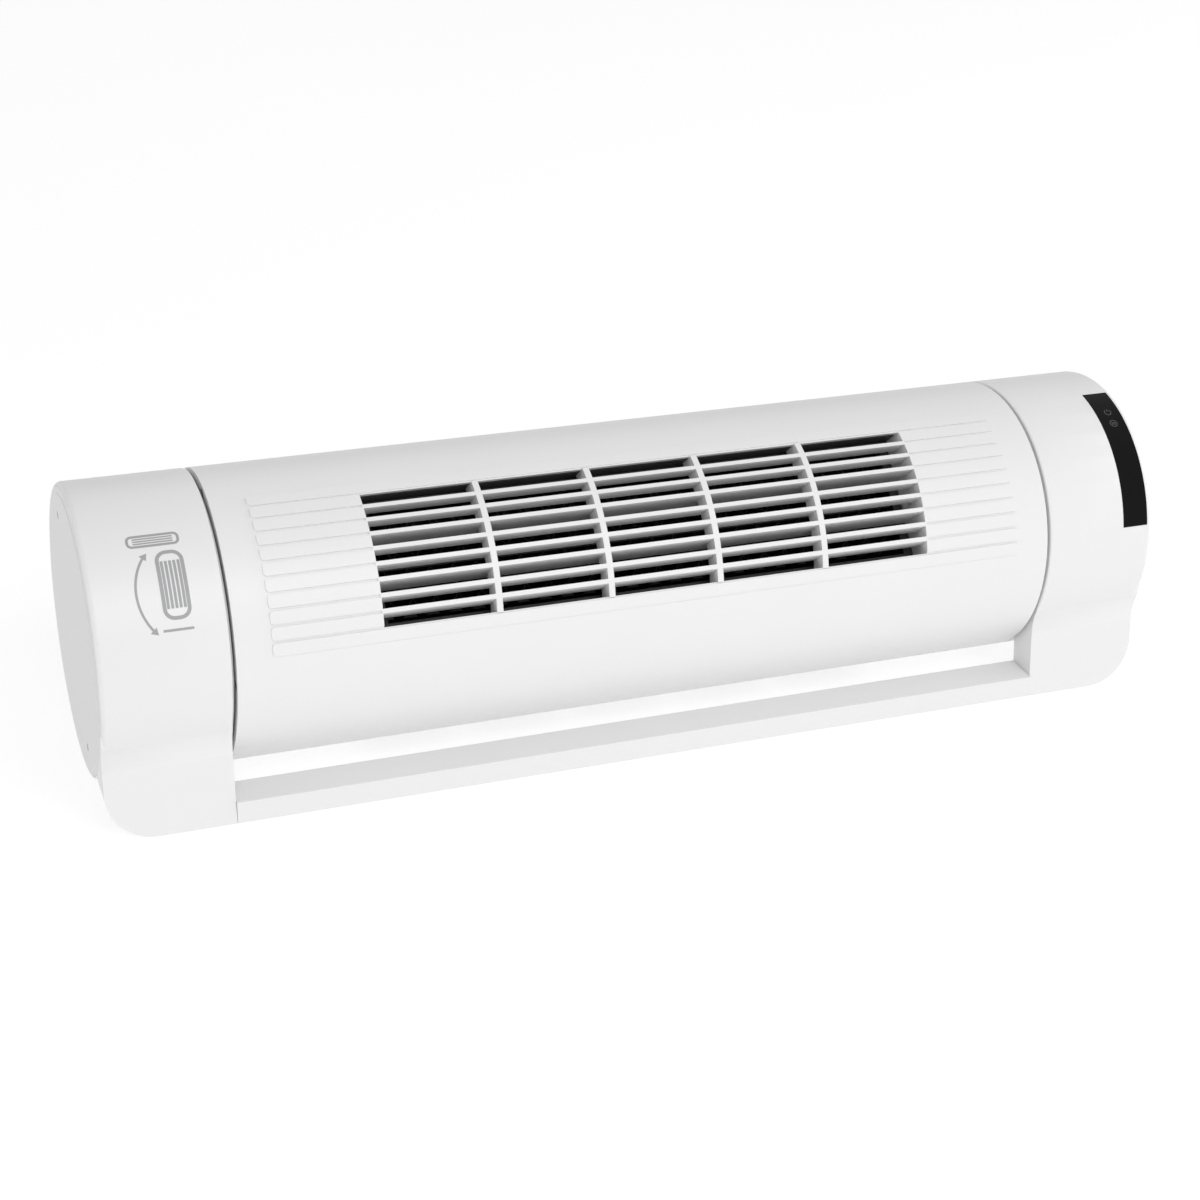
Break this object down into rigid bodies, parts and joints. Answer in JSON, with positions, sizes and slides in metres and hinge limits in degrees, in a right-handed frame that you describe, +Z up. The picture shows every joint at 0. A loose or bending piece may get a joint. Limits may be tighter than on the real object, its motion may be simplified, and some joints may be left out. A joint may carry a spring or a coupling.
{
  "type": "fan convector heater",
  "caption": "Horizontal fan heater: a swivelling drum with a slatted warm-air outlet, held between two end pods that stand on a front foot bar.",
  "frame": {"origin": "centre of the footprint on the floor, under the drum's axis", "axes": "+X along the drum towards the touch panel's end, -Y is the front where the air comes out, +Z up"},
  "size_m": [0.578, 0.15, 0.1555],
  "materials": {
    "white_plastic": "satin gloss white ABS",
    "drum_plastic": "satin gloss white ABS",
    "cap_plastic": "satin white ABS",
    "screw_steel": "zinc plated steel",
    "spring_steel": "plated spring wire",
    "bush_nylon": "natural acetal",
    "pad_rubber": "matt black rubber",
    "panel_black": "high gloss black acrylic",
    "board_green": "green solder mask",
    "display_black": "dark grey plastic",
    "relay_blue": "blue plastic case",
    "terminal_nylon": "green nylon",
    "capacitor_yellow": "yellow box case",
    "switch_black": "black nylon",
    "gland_nylon": "light grey nylon",
    "motor_steel": "pressed steel can",
    "gear_nylon": "natural acetal",
    "heater_plastic": "black glass-filled nylon",
    "fin_aluminium": "dark coated aluminium fin",
    "bar_aluminium": "dark coated aluminium tube",
    "cutout_phenolic": "brown phenolic",
    "fuse_steel": "plated steel",
    "guide_plastic": "dark grey plastic",
    "plate_steel": "galvanised sheet",
    "bearing_brass": "sintered bronze",
    "filter_mesh": "dark nylon mesh",
    "impeller_plastic": "black plastic",
    "shaft_steel": "ground steel",
    "rocker_plastic": "black plastic"
  },
  "bodies": {
    "frame": {"left_pod_shell": "white_plastic", "right_pod_shell": "white_plastic", "left_end_cap": "cap_plastic", "right_end_cap": "cap_plastic", "cap_screws": "screw_steel", "front_bar": "white_plastic", "bar_cover": "white_plastic", "bar_screws": "screw_steel", "left_bush": "bush_nylon", "right_bush": "bush_nylon", "foot_pads": "pad_rubber", "touch_panel": "panel_black", "control_board": "board_green", "touch_springs": "spring_steel", "display_module": "display_black", "ir_receiver": "display_black", "buzzer": "display_black", "power_board": "board_green", "power_relays": "relay_blue", "terminal_block": "terminal_nylon", "filter_capacitor": "capacitor_yellow", "mains_switch_housing": "switch_black", "cable_gland": "gland_nylon", "gland_nut": "gland_nylon", "tip_over_switch": "switch_black", "board_screws": "screw_steel", "swing_motor": "motor_steel", "swing_motor_screws": "screw_steel"},
    "drum": {"drum_front_shell": "drum_plastic", "drum_rear_shell": "drum_plastic", "drum_end_left": "drum_plastic", "drum_end_right": "drum_plastic", "drum_end_screws": "screw_steel", "swing_gear": "gear_nylon", "heater_frame": "heater_plastic", "heater_fins": "fin_aluminium", "heater_bars": "bar_aluminium", "thermal_cutout": "cutout_phenolic", "thermal_fuse": "fuse_steel", "air_scroll": "guide_plastic", "air_tongue": "guide_plastic", "fan_end_plates": "plate_steel", "fan_motor": "motor_steel", "fan_motor_screws": "screw_steel", "fan_bearing": "bearing_brass", "intake_filter": "filter_mesh"},
    "rotor": {"impeller": "impeller_plastic", "impeller_shaft": "shaft_steel"},
    "pinion": {"swing_pinion": "gear_nylon"},
    "rocker": {"mains_rocker": "rocker_plastic"}
  },
  "joints": [
    {"name": "drum_swing", "type": "hinge", "parent": "frame", "child": "drum", "pos_m": [0, 0, 0.0805], "axis": [-1, 0, 0], "range_deg": [-35, 35]},
    {"name": "fan_spin", "type": "hinge", "parent": "drum", "child": "rotor", "pos_m": [0, 0.01338, 0.06846], "axis": [1, 0, 0], "continuous": true},
    {"name": "pinion_turn", "type": "hinge", "parent": "frame", "child": "pinion", "pos_m": [0.2332, 0.02706, 0.06488], "axis": [-1, 0, 0], "range_deg": [-95, 95]},
    {"name": "mains_rocker", "type": "hinge", "parent": "frame", "child": "rocker", "pos_m": [-0.2567, 0.06707, 0.11177], "axis": [0, -0.4226, 0.9063], "range_deg": [0, 18]}
  ],
  "couplings": [
    {"joint": "pinion_turn", "follows": "drum_swing", "ratio": -2.5714}
  ]
}
